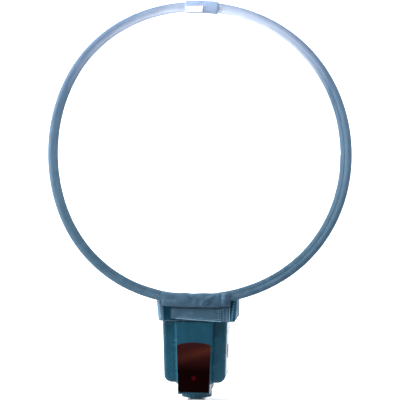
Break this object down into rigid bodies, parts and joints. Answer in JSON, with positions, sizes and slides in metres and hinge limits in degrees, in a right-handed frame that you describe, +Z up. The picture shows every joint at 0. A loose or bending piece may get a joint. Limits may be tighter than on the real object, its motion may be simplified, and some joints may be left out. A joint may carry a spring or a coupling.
{
  "type": "shoe-mount flash with round pop-up softbox",
  "caption": "Shoe-mount flash with its head upright inside the neck of a round, spring-hoop softbox that faces forward.",
  "frame": {"origin": "middle of the underside of the shoe foot", "axes": "+Z up along the flash body and its upright head, -Y towards the subject, the way the diffuser and the red window face, +X to the right of someone looking at the front"},
  "size_m": [0.3224, 0.0723, 0.4291],
  "materials": {
    "case_plastic": "fine-grained matte",
    "control_plastic": "satin",
    "button_rubber": "matte",
    "red_lens": "gloss, translucent",
    "clear_plastic": "clear",
    "white_plastic": "satin",
    "foot_metal": "brushed",
    "ring_plastic": "matte",
    "pin_metal": "bright",
    "screw_steel": "bright",
    "board": "gloss",
    "lamp": "gloss",
    "capacitor_sleeve": "gloss",
    "cell_steel": "satin",
    "display": "gloss",
    "axle_steel": "ground",
    "reflector_metal": "mirror",
    "tube_glass": "clear",
    "cover_rubber": "matte",
    "hoop_steel": "spring temper",
    "binding_cloth": "woven tape",
    "diffuser_cloth": "fine white weave",
    "outer_cloth": "coated nylon weave",
    "silver_cloth": "metallised",
    "neck_cloth": "coated nylon weave",
    "strap_cloth": "woven tape",
    "hook_tape": "hook pile"
  },
  "bodies": {
    "flash_body": {"shoe_plate": "foot_metal", "shoe_stem": "foot_metal", "base_block": "case_plastic", "body_front_shell": "case_plastic", "body_rear_shell": "case_plastic", "case_screws": "screw_steel", "red_window": "red_lens", "sensor_board": "board", "assist_lamp": "lamp", "light_sensor": "lamp", "main_board": "board", "power_board": "board", "main_capacitor": "capacitor_sleeve", "aa_cells": "cell_steel", "cell_contacts": "pin_metal", "cell_door_pin": "axle_steel", "sync_socket": "ring_plastic", "rear_panel": "control_plastic", "display_panel": "display", "display_window": "clear_plastic"},
    "lock_ring": {"lock_ring": "ring_plastic"},
    "lock_pin": {"lock_pin": "screw_steel"},
    "contact_pins": {"contact_pins": "pin_metal"},
    "cell_door": {"cell_door": "case_plastic"},
    "port_cover": {"port_cover": "cover_rubber"},
    "power_switch": {"power_switch": "button_rubber"},
    "mode_button": {"mode_button": "button_rubber"},
    "zoom_button": {"zoom_button": "button_rubber"},
    "pilot_button": {"pilot_button": "button_rubber"},
    "select_dial": {"select_dial": "button_rubber"},
    "set_button": {"set_button": "button_rubber"},
    "neck": {"swivel_yoke": "case_plastic", "swivel_retainer": "control_plastic"},
    "head": {"tilt_axle": "axle_steel", "head_front_shell": "case_plastic", "head_rear_shell": "case_plastic", "head_screws": "screw_steel", "fresnel_lens": "clear_plastic", "guide_rod": "axle_steel", "zoom_motor": "control_plastic"},
    "tilt_release_button": {"tilt_release_button": "button_rubber"},
    "zoom_carriage": {"zoom_carriage": "control_plastic", "reflector": "reflector_metal", "flash_tube": "tube_glass"},
    "lead_screw": {"lead_screw": "axle_steel"},
    "wide_panel": {"wide_panel": "clear_plastic"},
    "bounce_card": {"bounce_card": "white_plastic"},
    "softbox": {"hoop_wire": "hoop_steel", "hoop_ferrule": "hoop_steel", "rim_binding": "binding_cloth", "diffuser_cloth": "diffuser_cloth", "back_cloth": "outer_cloth", "silver_lining": "silver_cloth", "neck_front_panel": "neck_cloth", "cinch_strap": "strap_cloth", "loop_patch": "hook_tape", "rim_fold": "neck_cloth", "rim_join_tab": "binding_cloth"},
    "strap_tail": {"strap_tail": "strap_cloth", "hook_patch": "hook_tape"}
  },
  "joints": [
    {"name": "head_swivel", "type": "hinge", "parent": "flash_body", "child": "neck", "pos_m": [0, -0.002, 0.088], "axis": [0, 0, 1], "range_deg": [-90, 180]},
    {"name": "head_tilt", "type": "hinge", "parent": "neck", "child": "head", "pos_m": [0, -0.002, 0.124], "axis": [1, 0, 0], "range_deg": [0, 30], "deforming": ["neck_front_panel", "cinch_strap", "loop_patch", "strap_tail", "hook_patch"]},
    {"name": "softbox_lift", "type": "slide", "parent": "head", "child": "softbox", "axis": [0, 0, 1], "range_m": [0, 0.11]},
    {"name": "strap_peel", "type": "hinge", "parent": "softbox", "child": "strap_tail", "pos_m": [0.0295, -0.0334, 0.0965], "axis": [0, 0, -1], "range_deg": [0, 120]},
    {"name": "zoom_travel", "type": "slide", "parent": "head", "child": "zoom_carriage", "axis": [0, 0, 1], "range_m": [0, 0.018]},
    {"name": "lead_screw_turn", "type": "hinge", "parent": "head", "child": "lead_screw", "pos_m": [0.0262, 0.012, 0.16], "axis": [0, 0, 1], "range_deg": [-10, 2170]},
    {"name": "wide_panel_travel", "type": "slide", "parent": "head", "child": "wide_panel", "axis": [0, 0, 1], "range_m": [0, 0.045]},
    {"name": "bounce_card_travel", "type": "slide", "parent": "head", "child": "bounce_card", "axis": [0, 0, 1], "range_m": [0, 0.045]},
    {"name": "tilt_release", "type": "slide", "parent": "head", "child": "tilt_release_button", "axis": [-1, 0, 0], "range_m": [0, 0.0012], "stiffness_N_per_m": 500, "springref_m": -0.0005},
    {"name": "cell_door_swing", "type": "hinge", "parent": "flash_body", "child": "cell_door", "pos_m": [0.03261, 0.0165, 0.04902], "axis": [0.0318, 0, 0.9995], "range_deg": [0, 100]},
    {"name": "port_cover_swing", "type": "hinge", "parent": "flash_body", "child": "port_cover", "pos_m": [-0.03433, 0, 0.06998], "axis": [0, 1, 0], "range_deg": [0, 90], "stiffness_Nm_per_rad": 0.004},
    {"name": "power_switch_travel", "type": "slide", "parent": "flash_body", "child": "power_switch", "axis": [1, 0, 0], "range_m": [0, 0.004]},
    {"name": "mode_button_press", "type": "slide", "parent": "flash_body", "child": "mode_button", "axis": [0, -1, 0], "range_m": [0, 0.0008], "stiffness_N_per_m": 400, "springref_m": -0.0003},
    {"name": "zoom_button_press", "type": "slide", "parent": "flash_body", "child": "zoom_button", "axis": [0, -1, 0], "range_m": [0, 0.0008], "stiffness_N_per_m": 400, "springref_m": -0.0003},
    {"name": "pilot_button_press", "type": "slide", "parent": "flash_body", "child": "pilot_button", "axis": [0, -1, 0], "range_m": [0, 0.0008], "stiffness_N_per_m": 400, "springref_m": -0.0003},
    {"name": "select_dial_turn", "type": "hinge", "parent": "flash_body", "child": "select_dial", "pos_m": [0.01, 0.027, 0.0393], "axis": [0, -1, 0], "continuous": true},
    {"name": "set_button_press", "type": "slide", "parent": "flash_body", "child": "set_button", "axis": [0, -1, 0], "range_m": [0, 0.0008], "stiffness_N_per_m": 400, "springref_m": -0.0003},
    {"name": "lock_ring_turn", "type": "hinge", "parent": "flash_body", "child": "lock_ring", "pos_m": [0, 0, 0.008], "axis": [0, 0, 1], "range_deg": [0, 60]},
    {"name": "lock_pin_drop", "type": "slide", "parent": "flash_body", "child": "lock_pin", "axis": [0, 0, -1], "range_m": [0, 0.0016]},
    {"name": "contact_pin_press", "type": "slide", "parent": "flash_body", "child": "contact_pins", "axis": [0, 0, 1], "range_m": [0, 0.0005], "stiffness_N_per_m": 800, "springref_m": -0.0003}
  ],
  "couplings": [
    {"joint": "lead_screw_turn", "follows": "zoom_travel", "rad_per_m": 2094.4},
    {"joint": "lock_pin_drop", "follows": "lock_ring_turn", "m_per_rad": 0.001432}
  ]
}
